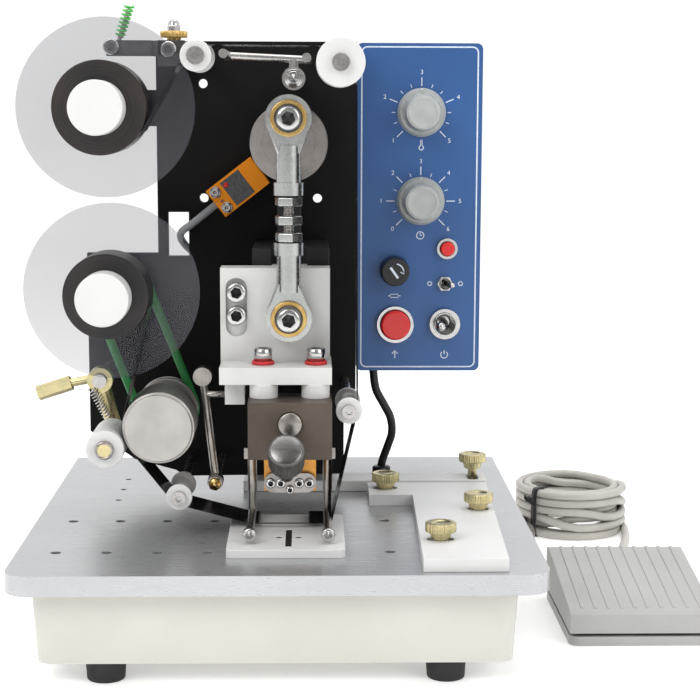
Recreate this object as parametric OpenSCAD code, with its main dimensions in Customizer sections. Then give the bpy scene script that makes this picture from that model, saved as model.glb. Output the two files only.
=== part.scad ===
// Hot foil stamper: a bench machine that presses heated type through a foil ribbon onto a pad.
// Millimetres. X to the right, Y away from the operator, Z up, the floor at Z = 0.
// The origin is under the middle of the bed. Shafts of the ribbon drive run along Y.

/* [Base and bed] */
// Width of the bed plate
bed_w = 250; // [200:1:320]
// Depth of the bed plate
bed_d = 256; // [200:1:320]
// Thickness of the bed plate
bed_t = 9.6; // [6:0.2:14]
// Height of the rubber feet
foot_h = 10; // [6:1:16]
// Height of the sheet metal base box
box_h = 35.2; // [25:0.2:60]
// Radius of the bed's front corners
bed_corner_r = 12; // [4:1:20]
// Spacing of the tapped holes along the bed
hole_pitch = 24; // [20:1:30]
// Radius of the tapped holes
tapped_r = 2.5; // [2:0.1:4]

/* [Upright] */
// Front face of the upright face plate
plate_y = 32; // [20:1:60]
// Thickness of the face plate
plate_t = 5; // [3:0.5:8]
// Top of the face plate above the floor
plate_top = 298.4; // [260:0.2:340]
// Front face of the control panel
panel_y = 53.5; // [40:0.5:70]
// Depth of the control box
control_d = 60; // [40:1:80]

/* [Press head] */
// Middle of the press head across the bed
head_x = 4.2; // [-10:0.1:20]
// Throw of the crank, half of the stroke
crank_throw = 8; // [5:0.5:10]
// Height of the crank pin at the top of the stroke
pin_z = 259.1; // [240:0.1:280]
// Height of the lower rod end
lower_eye_z = 161.7; // [150:0.1:180]
// Outer radius of the rod ends
eye_r = 11.35; // [9:0.05:14]
// Radius of the rod ends' shanks
shank_r = 6; // [4:0.1:7]
// Outer radius of the brass races
race_r = 8.9; // [7:0.1:10]
// Depth position of the connecting rod
rod_y = -45; // [-60:0.5:-30]
// Front face of the slider
slider_y = -37; // [-50:0.5:-25]
// Front face of the heater block
heater_y = -73; // [-85:0.5:-60]
// Upward tilt of the clamp knob
knob_tilt = 38; // [0:1:60]

/* [Ribbon drive] */
// Width of the foil ribbon
ribbon_w = 25; // [20:1:35]
// Rear edge of the ribbon
ribbon_back = -32; // [-40:1:-25]
// Thickness of the ribbon
ribbon_t = 0.25; // [0.1:0.05:0.4]
// Radius of the clear reel discs
disc_r = 43.9; // [30:0.1:60]
// Radius of the wound supply roll
supply_r = 22.6; // [15:0.1:35]
// Radius of the wound take-up roll
takeup_r = 20.8; // [15:0.1:35]
// Radius of the feed drum
drum_r = 17.7; // [12:0.1:25]
// Radius of the pinch roller
pinch_r = 9.3; // [6:0.1:14]

/* [Foot switch] */
// Width of the foot switch
pedal_w = 72; // [60:1:120]
// Length of the foot switch
pedal_d = 85; // [70:1:140]
// Diameter of the foot switch cord
cord_d = 5; // [4:0.5:8]
// Radius of the coil at the middle of its turns
coil_r = 30; // [25:1:40]
// Turns of the coil side by side
coil_columns = 2; // [2:1:4]
// Turns of the coil one on another
coil_layers = 6; // [2:1:8]

/* [Hidden] */
$fn = 64;

bed_z = foot_h + box_h;
bed_top = bed_z + bed_t;
base_x = -1.2;
fit = 0.05;
ribbon_y = ribbon_back - ribbon_w;
hub_front = ribbon_y - 3;
hub_back = ribbon_back + 0.5;
shaft_z = pin_z - crank_throw;
panel_x = [40, 108.3];
panel_z = [119.7, 298.7];
supply = [-85.7, 263.8];
takeup = [-84.2, 173.4];
drum = [-59.4, 109.1];
pinch = [-85.3, 99.2];
lever_pivot = [-92.6, 126];
top_left = [-39.4, 288.3];
top_right = [29.2, 285.5];
low_left = [-49.6, 74.9];
low_right = [33.6, 117.9];
rod_left = [-14.3, 63.4];
rod_right = [23.2, 63.4];
tension = [6.5, 278.4];
pulley_y = -3;
belt_r = 14.5;
belt_d = 4.4;
pedal_x = 179.5;
pedal_front = -65;
coil_c = [180, 170];

// ---- helpers

// cylinder along Y from y0 to y1 round the point p = [x, z]
module ycyl(p, y0, y1, r, r2 = -1)
  translate([p[0], y0, p[1]])
    rotate([-90, 0, 0])
      cylinder(h = y1 - y0, r1 = r, r2 = r2 < 0 ? r : r2);

// tube along Y
module ytube(p, y0, y1, r, bore)
  difference() {
    ycyl(p, y0, y1, r);
    ycyl(p, y0 - 1, y1 + 1, bore);
  }

// box between two corners
module span(a, b)
  translate(a)
    cube(b - a);

// flat outline in X and Z, extruded from y0 to y1
module xz_plate(y0, y1)
  translate([0, y1, 0])
    rotate([90, 0, 0])
      linear_extrude(height = y1 - y0)
        children();

// round bar between two points
module bar(p, q, r) {
  v = q - p;
  len = norm(v);
  translate(p)
    rotate([0, acos(v[2] / len), atan2(v[1], v[0])])
      cylinder(h = len, r = r);
}

// bent round bar through a list of points, with round elbows
module bent_bar(points, r)
  for (i = [0 : len(points) - 2]) {
    bar(points[i], points[i + 1], r);
    if (i > 0)
      translate(points[i])
        sphere(r = r);
  }

// rectangle with round corners, centred
module round_rect(w, d, r) {
  square([w - 2 * r, d], center = true);
  square([w, d - 2 * r], center = true);
  for (x = [-1, 1], y = [-1, 1])
    translate([x * (w / 2 - r), y * (d / 2 - r)])
      circle(r);
}

// socket head along Y, its front face at y0
module socket_head(p, y0, h, r)
  difference() {
    ycyl(p, y0, y0 + h, r);
    translate([p[0], y0 - 1, p[1]])
      rotate([-90, 0, 0])
        cylinder(h = 1 + h * 0.5, r = r * 0.5, $fn = 6);
  }

// grooved roller on a spindle, with a core and two flanges
module guide_roller(p, core, flange, bore)
  difference() {
    union() {
      ycyl(p, hub_front, hub_back + 2, core);
      ycyl(p, hub_front, ribbon_y - 0.6, flange);
      ycyl(p, hub_back, hub_back + 2, flange);
    }
    ycyl(p, hub_front - 1, hub_back + 3, bore);
  }

// ---- base

// four rubber feet
module feet() color([0.08, 0.08, 0.08])
  for (x = [-79.5, 79.5], y = [-107, 107])
    translate([base_x + x, y, 0])
      cylinder(h = foot_h, r1 = 8.9, r2 = 9.6);

// drafted sheet metal tray that carries the bed
module base_box() color([0.9, 0.89, 0.84])
  difference() {
    drafted_block(foot_h, 0, 0);
    drafted_block(foot_h + 1.6, 1.6, 0.5);
  }

// block that widens upwards by its draft, set in by a wall and raised at its top
module drafted_block(z, wall, rise)
  hull()
    for (layer = [[z, 221.4, 234], [bed_z + rise, 225.4, 238]])
      translate([base_x, 0, layer[0] - (layer[0] > z ? 0.01 : 0)])
        linear_extrude(height = 0.01)
          round_rect(layer[1] - 2 * wall, layer[2] - 2 * wall, 8 - wall, $fn = 24);

// transformer and heater control board on the floor of the box
module electronics() color([0.2, 0.35, 0.2]) {
  floor_z = foot_h + 1.6;
  span([-60, -30, floor_z], [-8, 30, floor_z + 28]);
  span([14, -50, floor_z + 6], [92, 50, floor_z + 7.6]);
  for (x = [20, 86], y = [-44, 44])
    translate([x, y, floor_z])
      cylinder(h = 6, r = 3);
}

// bed plate with its rows of tapped holes
module bed_plate() color([0.75, 0.76, 0.78])
  difference() {
    translate([0, 0, bed_z])
      linear_extrude(height = bed_t) {
        translate([-bed_w / 2, bed_corner_r - bed_d / 2])
          square([bed_w, bed_d - bed_corner_r]);
        translate([bed_corner_r - bed_w / 2, -bed_d / 2])
          square([bed_w - 2 * bed_corner_r, bed_corner_r + 1]);
        for (x = [-1, 1])
          translate([x * (bed_w / 2 - bed_corner_r), bed_corner_r - bed_d / 2])
            circle(bed_corner_r);
      }
    for (i = [0 : 3], y = [-87.5, -27.5])
      bed_hole(-106 + i * hole_pitch, y, tapped_r);
    for (i = [0 : 2], y = [-87.5, -27.5])
      bed_hole(52.8 + i * hole_pitch, y, tapped_r);
    for (y = [18.6, 43.6, 68.6])
      bed_hole(-88.3, y, 1.6);
    for (x = [55.3, 104.9])
      bed_hole(x, x < 60 ? 20 : 47.5, tapped_r);
  }

module bed_hole(x, y, r)
  translate([x, y, bed_z - 1])
    cylinder(h = bed_t + 2, r = r);

// nylon stamping pad with its alignment slot
module pad() color([0.93, 0.93, 0.93])
  difference() {
    translate([3.1, -64.5, bed_top])
      linear_extrude(height = 4)
        round_rect(56.2, 69, 3);
    span([2.8, -92, bed_top + 2.4], [5.8, -60, bed_top + 5]);
    for (x = [-0.4, 9])
      translate([x, -75, bed_top + 2.4])
        cylinder(h = 3, r = 1.7);
  }

// ---- upright

// face plate, its cast foot and the two brackets that hold the control box
module frame() color([0.05, 0.05, 0.06]) {
  difference() {
    xz_plate(plate_y, plate_y + plate_t)
      polygon([
        [-66.5, plate_top], [39.3, plate_top], [39.3, 108], [33, 102], [33, 66], [-53.6, 65],
        [-58.4, 68.3], [-80.6, 74.4], [-86, 78.3], [-104.5, 90], [-104.5, 186.8], [-66.5, 186.8],
        [-66.5, 254], [-96, 254], [-96, 273], [-66.5, 273]
      ]);
    span([-61, plate_y - 1, 185.2], [-50, plate_y + plate_t + 1, 208.7]);
    ycyl([head_x, shaft_z], plate_y - 1, plate_y + plate_t + 1, 9);
    for (p = [[-41.8, 276.4], [-41.8, 216.2], [18.6, 216.1]])
      ycyl(p, plate_y - 1, plate_y + plate_t + 1, 2.4);
  }
  back = plate_y + plate_t;
  translate([-20, 0, 0])
    rotate([90, 0, 90])
      linear_extrude(height = 48)
        polygon([
          [60, bed_top], [118, bed_top], [118, 64], [90, 110], [90, 205], [back, 205],
          [back, 70], [60, 67]
        ]);
  for (z = [150, 284])
    span([34, back, z], [40, 95, z + 12]);
}

// slide housing and crank bearing in one casting
module guide_housing() color([0.12, 0.12, 0.13])
  difference() {
    union() {
      span([-14.5, -22.7, 112], [24.3, plate_y, 194]);
      span([-2, -10, 190], [10, plate_y, 240]);
      ycyl([head_x, shaft_z], -22, plate_y, 15);
    }
    span([head_x - 9, -23, 111], [head_x + 9, -14, 195]);
    ycyl([head_x, shaft_z], -23, plate_y + 1, 8.05);
  }

// gearbox and motor behind the face plate
module gear_motor() color([0.35, 0.36, 0.38])
  difference() {
    union() {
      span([head_x - 28, plate_y + plate_t, shaft_z - 28], [head_x + 28, 80, shaft_z + 28]);
      ycyl([head_x, shaft_z], 80, 124, 26);
      ycyl([head_x, shaft_z], 124, 127, 22);
    }
    ycyl([head_x, shaft_z], plate_y, 62, 8.05);
  }

// outline of the control box, set in by a wall, extruded from y0 to y1
module control_prism(y0, y1, wall)
  xz_plate(y0, y1)
    translate([panel_x[0] + panel_x[1], panel_z[0] + panel_z[1]] / 2)
      round_rect(panel_x[1] - panel_x[0] - 2 * wall, panel_z[1] - panel_z[0] - 2 * wall, 3.2 - wall);

// control box shell, open at the front
module control_box() color([0.16, 0.2, 0.3])
  difference() {
    control_prism(panel_y + 1.5, panel_y + 1.5 + control_d, 0);
    control_prism(panel_y, panel_y + control_d, 1.5);
    ycyl([92, 140], panel_y + control_d - 1, panel_y + control_d + 3, 6.5);
    span([54, panel_y + control_d - 1, 130], [80, panel_y + control_d + 3, 150]);
  }

// positions and bezel radii of the panel's controls: x, z, bezel radius, bore radius
upper_knob = [75.2, 261.6];
lower_knob = [75.1, 213.6];
reset_at = [89.9, 187.6];
stop_at = [61.6, 145.7];
mode_at = [89, 168.3];
power_at = [89, 146];
fuse_at = [61.1, 175.4];

// printed front panel with its bores
module panel() color([0.1, 0.25, 0.55])
  difference() {
    control_prism(panel_y, panel_y + 1.5, 0);
    for (p = [upper_knob, lower_knob])
      ycyl(p, panel_y - 1, panel_y + 3, 3.3);
    ycyl(reset_at, panel_y - 1, panel_y + 3, 4.5);
    ycyl(stop_at, panel_y - 1, panel_y + 3, 9);
    ycyl(mode_at, panel_y - 1, panel_y + 3, 3);
    ycyl(power_at, panel_y - 1, panel_y + 3, 6);
    ycyl(fuse_at, panel_y - 1, panel_y + 3, 5);
  }

// nuts and sockets of the switches and buttons
module bezels() color([0.8, 0.8, 0.8]) {
  button_bezel(reset_at, 5.75, 4.15, 4.4, 2.4);
  button_bezel(stop_at, 10.2, 8.4, 8.9, 3);
  toggle_socket(mode_at, 4.4, 2.9, 2.2, 6);
  toggle_socket(power_at, 8.5, 5.9, 3, 64);
}

// a push button's ring, closed at the back where its spring sits
module button_bezel(p, r, bore, barrel, proud) {
  difference() {
    union() {
      ycyl(p, panel_y - proud, panel_y, r);
      ycyl(p, panel_y, panel_y + 16, barrel);
    }
    ycyl(p, panel_y - proud - 1, panel_y + 14, bore);
  }
}

// a toggle switch's nut and body, with a cone for the lever to move in
module toggle_socket(p, r, barrel, proud, sides)
  difference() {
    union() {
      translate([p[0], panel_y - proud, p[1]])
        rotate([-90, 0, 0])
          cylinder(h = proud, r = r, $fn = sides);
      ycyl(p, panel_y - proud - 1.6, panel_y - proud, r * 0.76);
      ycyl(p, panel_y, panel_y + 14, barrel);
    }
    ycyl(p, panel_y - proud - 1.7, panel_y + 8, r * 0.68, r * 0.4);
  }

// mains inlet and foot switch socket on the back of the control box
module rear_sockets() color([0.1, 0.1, 0.1]) {
  y = panel_y + control_d;
  difference() {
    union() {
      span([54, y - 14, 130], [80, y + 1.5, 150]);
      span([52, y + 1.5, 128], [82, y + 4.5, 152]);
    }
    span([56, y - 12, 132], [78, y + 6, 148]);
  }
  for (x = [61, 67, 73])
    span([x - 1, y - 13, 138], [x + 1, y - 1, 142]);
  difference() {
    union() {
      ycyl([92, 140], y - 10, y + 1.5, 6.5);
      ycyl([92, 140], y + 1.5, y + 6, 8.2);
    }
    ycyl([92, 140], y - 8, y + 7, 5);
  }
}

// ---- ribbon drive, fixed parts

// shafts that stand out of the face plate, with their end screws
module spindles() color([0.7, 0.7, 0.72]) {
  for (p = [supply, takeup])
    ycyl(p, ribbon_y - 11, plate_y, 4);
  ycyl(drum, ribbon_y - 1.5, plate_y, 4);
  ycyl(lever_pivot, -19, plate_y, 3);
  ycyl(lever_pivot, -20.5, -19, 3.6);
  ycyl(tension, -14, plate_y, 3);
  ycyl([-33.2, 76.8], -27, plate_y, 2);
  ycyl([-33.2, 76.8], -36, -27, 2);
  ycyl([-33.2, 76.8], -38.4, -36, 3.5);
  for (p = [top_left, top_right]) {
    ycyl(p, hub_front - 0.4, plate_y, 3);
    socket_head(p, hub_front - 3.4, 3, 4.2);
    ycyl(p, hub_back + 2.4, hub_back + 6, 5);
  }
  for (p = [low_left, low_right]) {
    ycyl(p, hub_front - 0.4, plate_y, 2.2);
    socket_head(p, hub_front - 2.8, 2.4, 3.4);
    ycyl(p, hub_back + 2.4, hub_back + 6, 3.4);
  }
}

// two bent rods that hold the ribbon down over the pad
module ribbon_rods() color([0.45, 0.43, 0.42])
  for (p = [rod_left, rod_right]) {
    side = p[0] < head_x ? -1 : 1;
    bent_bar([[p[0], -86, p[1]], [p[0], -41, p[1]], [p[0], -41, 93]], 2);
    bar([p[0], -41, 74], [p[0], -41, 93], 2.3);
    translate([p[0], -41, 93])
      sphere(r = 2.3);
    bar([p[0], -41, 93], [p[0], plate_y, 93], 2.3);
    ycyl([p[0], p[1]], -88.2, -86, 3.3);
    span([p[0] + side * 2 - 2, -43, 90.5], [p[0] + side * 2 + 2, -39.2, 96]);
  }

// Ribbon path round a row of rollers: x, z and radius, negative where the roller is on the left.
clear_r = 0.3 + ribbon_t / 2;
path = [
  [supply[0], supply[1], -supply_r - clear_r], [top_left[0], top_left[1], 5 + clear_r],
  [top_right[0], top_right[1], 7.4 + clear_r], [low_right[0], low_right[1], 4 + clear_r],
  [rod_right[0], rod_right[1], 2 + clear_r], [rod_left[0], rod_left[1], 2 + clear_r],
  [low_left[0], low_left[1], 4 + clear_r], [drum[0], drum[1], drum_r + 0.31],
  [takeup[0], takeup[1], -takeup_r - clear_r]
];
function heading(a, b) =
  atan2(b[1] - a[1], b[0] - a[0]) - asin((a[2] - b[2]) / norm([b[0] - a[0], b[1] - a[1]]));
function left_of(angle) = [-sin(angle), cos(angle)];
function turned(from, to, sign) = sign > 0 ? from - (from - to + 720) % 360 : from + (to - from + 720) % 360;
function arc_points(c, from, to, steps) = [
  for (k = [0 : steps]) let (n = left_of(from + (to - from) * k / steps)) [[c[0], c[1]] + c[2] * n, n]
];
headings = [for (i = [0 : len(path) - 2]) heading(path[i], path[i + 1])];
function corner(i) =
  arc_points(path[i], headings[i - 1], turned(headings[i - 1], headings[i], path[i][2]), 10);
ribbon_line = concat(
  arc_points(path[0], headings[0], headings[0], 1),
  [for (i = [1 : len(path) - 2]) each corner(i)],
  arc_points(path[len(path) - 1], headings[len(path) - 2], headings[len(path) - 2], 1)
);
last = len(ribbon_line) - 1;

// the foil ribbon from the supply roll to the take-up roll
module ribbon() color([0.04, 0.04, 0.05])
  xz_plate(ribbon_y, ribbon_back)
    polygon(concat(
      [for (i = [1 : last - 1]) ribbon_line[i][0] + ribbon_line[i][1] * ribbon_t / 2],
      [for (i = [last - 1 : -1 : 1]) ribbon_line[i][0] - ribbon_line[i][1] * ribbon_t / 2]
    ));

// round drive belt from the feed drum to the take-up reel
module belt() color([0.15, 0.6, 0.25]) {
  v = takeup - drum;
  tilt = atan2(v[1], v[0]);
  loop = [
    for (end = [[takeup, 90], [drum, 270]], k = [0 : 12])
      let (a = tilt + end[1] - k * 15)
      [end[0][0] + belt_r * cos(a), pulley_y, end[0][1] + belt_r * sin(a)]
  ];
  closed_tube(loop, belt_d / 2, 10);
}

// proximity sensor and its cable
module sensor() color([0.95, 0.5, 0.08]) {
  translate([-23.3, 25, 222.6])
    rotate([0, -37.6, 0])
      difference() {
        cube([29.5, 10, 17.05], center = true);
        for (z = [-5, 5])
          translate([-11, -6, z])
            rotate([-90, 0, 0])
              cylinder(h = 6, r = 1.7);
      }
  for (p = [[-30, 217.4], [-16, 228.2]])
    ycyl(p, 29.5, plate_y, 2.5);
  tube(smooth([
    [-33.5, 25, 214.5], [-39, 25, 210], [-47, 27, 203.5], [-54, 33.5, 198], [-54.5, 41, 193],
    [-49.5, 43.5, 187], [-41, 43.5, 182]
  ], 2), 2, 10);
}

// cable loop from the control box to the bed
module harness() color([0.05, 0.05, 0.05]) {
  tube(smooth([
    [50, 64, panel_z[0]], [51.5, 64, 108], [56, 65, 99], [60, 66, 91], [61, 68, 82],
    [59, 71, 74], [56.5, 74, 66], [55.5, 75.5, 61.5], [55.5, 75.5, bed_top + 3]
  ], 2), 2.3, 10, [0, 1, 0]);
  translate([55.5, 75.5, bed_top])
    cylinder(h = 3, r = 5);
}

// strap, bolts and knurled nut of the ribbon brake
module brake_parts() color([0.72, 0.58, 0.28]) {
  span([-90, 12, 290], [-66.8, 15, 298]);
  span([-90, 15, 290], [-60, 18, 298]);
  span([-64, 15, 285], [-50, 29, 298.2]);
  span([-64, 29, 285], [-50, plate_y, 297]);
  ycyl([-87.2, 294.5], 8, 12, 4.1);
  ycyl([-58.1, 293.5], 11, 15, 4.1);
  translate([-56, 22, 298.2])
    cylinder(h = 1.6, r = 3.6);
  translate([-56, 22, 299.8])
    cylinder(h = 3.2, r = 7);
  translate([-56, 22, 303])
    cylinder(h = 6.2, r = 3.6);
}

// brake spring hooked on the strap
module brake_spring() color([0.2, 0.6, 0.25])
  bar([-83.4, 14, 299.2], [-77.5, 12, 316], 2.8);

// knurled clamping screws of the two guides
module thumb_screws() color([0.8, 0.72, 0.4]) {
  thumb_screw([76.8, -87.5], 61.2);
  thumb_screw([100.8, -27.5], 61.2);
  thumb_screw([55.3, 20], 61.2);
  thumb_screw([104.9, 47.5], 66);
}

module thumb_screw(at, z)
  translate([at[0], at[1], 0]) {
    translate([0, 0, z])
      cylinder(h = 3.5, r1 = 4.6, r2 = 5.4);
    translate([0, 0, z + 3.5])
      cylinder(h = 4.6, r = 7.2);
    translate([0, 0, bed_top - 7])
      cylinder(h = z - bed_top + 7, r = 2.4);
  }

// ---- press head

// eccentric crank disc with its shaft, pin and cap screw
module crank() color([0.7, 0.7, 0.7]) {
  ycyl([head_x, shaft_z], -25, 60, 8);
  ycyl([head_x, shaft_z - 4.1], -35, -25, 19.2);
  ycyl([head_x, pin_z], -38.7, -35, 6.5);
  ycyl([head_x, pin_z], -51.4, -38.7, 4);
  socket_head([head_x, pin_z], -57.6, 6.2, 5.55);
}

// upper and lower rod ends
module rod_ends() color([0.8, 0.8, 0.8]) {
  rod_end(pin_z, 1);
  rod_end(lower_eye_z, -1);
}

module rod_end(z, dir)
  difference() {
    union() {
      ycyl([head_x, z], rod_y - 4, rod_y + 4, eye_r);
      intersection() {
        translate([head_x, rod_y, z])
          rotate([dir > 0 ? 180 : 0, 0, 0])
            translate([0, 0, 5])
              cylinder(h = 12, r1 = eye_r - 0.9, r2 = shank_r);
        span([head_x - 12, rod_y - 4, z - 20], [head_x + 12, rod_y + 4, z + 20]);
      }
      bar([head_x, rod_y, z - dir * 13], [head_x, rod_y, z - dir * 31], shank_r);
      translate([head_x, rod_y, z - dir * 31 - (dir > 0 ? 6.2 : 0)])
        cylinder(h = 6.2, r = 7.3);
    }
    ycyl([head_x, z], rod_y - 7, rod_y + 7, race_r);
  }

// brass races inside the rod ends
module rod_races() color([0.8, 0.65, 0.3])
  for (z = [pin_z, lower_eye_z])
    ytube([head_x, z], rod_y - 6, rod_y + 6, race_r, 4 + fit);

// threaded link, three nuts and the lower bolt
module rod_hardware() color([0.5, 0.5, 0.5]) {
  bar([head_x, rod_y, lower_eye_z + 37.2], [head_x, rod_y, pin_z - 37.2], 2.4);
  for (z = [199.2, 207.4, 216.6])
    translate([head_x, rod_y, z])
      difference() {
        cylinder(h = 4.6, r = 5.6, $fn = 6);
        translate([0, 0, -1])
          cylinder(h = 7, r = 2.4);
      }
  ycyl([head_x, lower_eye_z], rod_y - 6, slider_y - 0.3, 4);
  socket_head([head_x, lower_eye_z], rod_y - 12, 6, 5.55);
}

// slider with its flange, tongue, heat insulating posts and cam finger
module slider() color([0.93, 0.93, 0.92]) {
  difference() {
    union() {
      span([-29.9, slider_y, 137], [24.5, -23, 185.5]);
      span([-29.4, -62, 131.1], [25.2, -23, 139.5]);
      span([head_x - 9 + fit, -24, 131.1], [head_x + 9 - fit, -14.3, 185.5]);
    }
    xz_plate(slider_y - 1, slider_y + 3)
      translate([-21.9, 166])
        round_rect(10.4, 29, 5);
  }
  for (x = [-8, 17.3])
    translate([x, -56, 124.3])
      cylinder(h = 6.8, r = 6.9);
  span([-27.3, -50, 119.3], [-17.5, -44, 131.1]);
  bar([-36.3, -47, 124], [-27, -47, 124], 1.3);
}

// socket screws of the slider
module slider_screws() color([0.65, 0.65, 0.66]) {
  for (z = [162.1, 173.6])
    socket_head([-21.8, z], -41.5, 7.5, 4.6);
  for (x = [-8.5, 17.5])
    translate([x, -50, 139.5]) {
      cylinder(h = 1.6, r = 5.2);
      difference() {
        translate([0, 0, 1.6])
          cylinder(h = 6.2, r = 4.4);
        translate([0, 0, 5])
          cylinder(h = 4, r = 2.2, $fn = 6);
      }
    }
}

// heated block with the cartridge heater in its bore
module heater_block() color([0.36, 0.32, 0.29]) {
  difference() {
    span([-15.3, heater_y, 96.4], [25.2, -45, 124.3]);
    ycyl([5, 113.8], heater_y - 1, -50, 5.9);
  }
  ycyl([5, 113.8], heater_y - 1, -50, 5.7);
}

// brass type holder with a row of type
module type_holder() color([0.8, 0.5, 0.15]) {
  span([-7.7, -68, 79.9], [17.5, -47, 96.3]);
  for (i = [0 : 7])
    span([-5.6 + i * 2.7, -55, 77.6], [-3.4 + i * 2.7, -49, 79.9]);
}

// rounded clamp plate with its screws
module clamp_plate() color([0.82, 0.82, 0.82]) {
  xz_plate(-71, -68)
    translate([4.9, 84.6])
      round_rect(25.2, 9.6, 4.7);
  for (x = [-4.4, 0.4, 9.4, 14.2])
    ycyl([x, 84.6], -72.6, -71, 2.1);
  ycyl([4.9, 81.5], -73.2, -71, 1.8);
}

// chrome knob that locks the type holder
module clamp_knob() color([0.3, 0.3, 0.3])
  translate([3.4, -98, 107])
    rotate([-90 - knob_tilt, 0, 0]) {
      cylinder(h = 15, r = 8.5);
      cylinder(h = 29.5, r = 3.2);
    }

// ---- ribbon drive, turning parts

module reel_disc(p)
  ytube(p, hub_back + 0.1, hub_back + 1.6, disc_r, 10);

module reel_roll(p, r)
  ytube(p, ribbon_y, ribbon_back, r, 10);

// clear disc of the supply reel
module supply_disc() color([0.85, 0.88, 0.9, 0.4])
  reel_disc(supply);

// wound ribbon on the supply reel
module supply_roll() color([0.06, 0.05, 0.05])
  reel_roll(supply, supply_r);

// hub and cap of the supply reel
module supply_cap() color([0.94, 0.94, 0.94])
  difference() {
    union() {
      ycyl(supply, ribbon_y - 15, ribbon_y, 13);
      ycyl(supply, ribbon_y, -18, 10);
    }
    ycyl(supply, ribbon_y - 11.5, -17, 4 + fit);
  }

// clear disc of the take-up reel
module takeup_disc() color([0.85, 0.88, 0.9, 0.4])
  reel_disc(takeup);

// wound ribbon on the take-up reel
module takeup_roll() color([0.06, 0.05, 0.05])
  reel_roll(takeup, takeup_r);

// hub, cap and pulley of the take-up reel
module takeup_cap() color([0.94, 0.94, 0.94])
  difference() {
    union() {
      ycyl(takeup, ribbon_y - 15, ribbon_y, 12.9);
      ycyl(takeup, ribbon_y, pulley_y, 10);
      pulley(takeup);
    }
    ycyl(takeup, ribbon_y - 11.5, pulley_y + 8, 4 + fit);
  }

// grooved belt pulley
module pulley(p) {
  core = belt_r - belt_d / 2 - 0.3;
  ycyl(p, pulley_y - 4.5, pulley_y + 4.5, core);
  for (s = [-1, 1])
    ycyl(p, pulley_y + s * 3.6 - 0.9, pulley_y + s * 3.6 + 0.9, belt_r + 1.5);
}

// aluminium feed drum with its pulley
module feed_drum() color([0.8, 0.8, 0.78])
  difference() {
    union() {
      ycyl(drum, ribbon_y - 1, ribbon_back + 1, drum_r);
      ycyl(drum, ribbon_y - 3, ribbon_y - 1, drum_r - 1.2);
      ycyl(drum, ribbon_back + 1, pulley_y, 8);
      pulley(drum);
    }
    ycyl(drum, ribbon_y - 2, pulley_y + 8, 4 + fit);
  }

// pinch lever with its hexagonal handle and the roller's axle
module pinch_arm() color([0.75, 0.7, 0.5])
  difference() {
    union() {
      ycyl(lever_pivot, -18, -10, 6.5);
      bar([lever_pivot[0], -14, lever_pivot[1]], [pinch[0], -14, pinch[1]], 4);
      ycyl(pinch, ribbon_y - 5, -10, 3);
      ycyl(pinch, ribbon_y - 7.4, ribbon_y - 5, 4.4);
      bar([-96, -14, 126.6], [-108, -14, 124.2], 2.2);
      translate([-107.5, -14, 124.3])
        rotate([0, -108, 0])
          cylinder(h = 18, r = 3.9, $fn = 6);
    }
    ycyl(lever_pivot, -19, -9, 3 + fit);
  }

// pinch roller
module pinch_roller() color([0.92, 0.92, 0.92])
  ytube(pinch, ribbon_y - 4.6, ribbon_back + 4, pinch_r, 3 + fit);

// upper guide rollers and lower guide spools
module roller_left() color([0.95, 0.95, 0.95])
  guide_roller(top_left, 5, 7.5, 3 + fit);

module roller_right() color([0.95, 0.95, 0.95])
  guide_roller(top_right, 7.4, 11.7, 3 + fit);

module spool_left() color([0.95, 0.95, 0.95])
  guide_roller(low_left, 4, 6.4, 2.2 + fit);

module spool_right() color([0.95, 0.95, 0.95])
  guide_roller(low_right, 4, 6.5, 2.2 + fit);

// swinging tension lever under the upper run of the ribbon
module tension_lever() color([0.6, 0.6, 0.6])
  difference() {
    union() {
      ycyl(tension, -21, -14.4, 5.8);
      bar([tension[0], -18, tension[1]], [tension[0], -18, 287.6], 2.4);
      bar([-26.5, -18, 289.4], [13, -18, 287.6], 1.9);
      for (p = [[-26.5, 289.4], [13, 287.6]])
        ycyl(p, ribbon_y - 1, -16, 2.2);
    }
    ycyl(tension, -19, -14, 3 + fit);
  }

// feed lever with its cam roller
module feed_link() color([0.5, 0.48, 0.45])
  difference() {
    union() {
      ycyl([-33.2, 76.8], -35.6, -28, 4);
      bar([-33.2, -31, 76.8], [-39.2, -31, 130.8], 2);
      ycyl([-39.2, 130.8], -36, -28, 4.7);
    }
    ycyl([-33.2, 76.8], -36, -27, 2 + fit);
  }

// ---- panel controls

module dial_knob(p)
  difference() {
    union() {
      ycyl(p, panel_y - 4, panel_y - 0.5, 11.8, 13.2);
      ycyl(p, panel_y - 17, panel_y - 4, 9, 10.4);
      ycyl(p, panel_y - 0.5, panel_y + 8, 3);
    }
    for (k = [0 : 11])
      translate([p[0] + 11.3 * cos(k * 30), panel_y - 18, p[1] + 11.3 * sin(k * 30)])
        rotate([-90, 0, 0])
          cylinder(h = 14, r = 1.6);
  }

module knob_upper() color([0.62, 0.64, 0.64])
  dial_knob(upper_knob);

module knob_lower() color([0.62, 0.64, 0.64])
  dial_knob(lower_knob);

module reset_button() color([0.8, 0.08, 0.06])
  ycyl(reset_at, panel_y - 5, panel_y + 8, 3.85);

module stop_button() color([0.85, 0.08, 0.06])
  ycyl(stop_at, panel_y - 7, panel_y + 8, 8.1);

module toggle_lever(p, proud, r, length, tilt, tip)
  translate([p[0], panel_y + 1, p[1]])
    rotate([90, 0, 0])
      rotate([0, tilt, 0]) {
        cylinder(h = proud + length, r1 = r * 0.7, r2 = r);
        translate([0, 0, proud + length])
          sphere(r = tip);
        sphere(r = r);
      }

module mode_toggle() color([0.9, 0.9, 0.9])
  toggle_lever(mode_at, 2.5, 1.5, 8.5, 16, 1.7);

module power_toggle() color([0.82, 0.82, 0.82])
  toggle_lever(power_at, 3, 2.2, 12, -12, 2.7);

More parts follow.
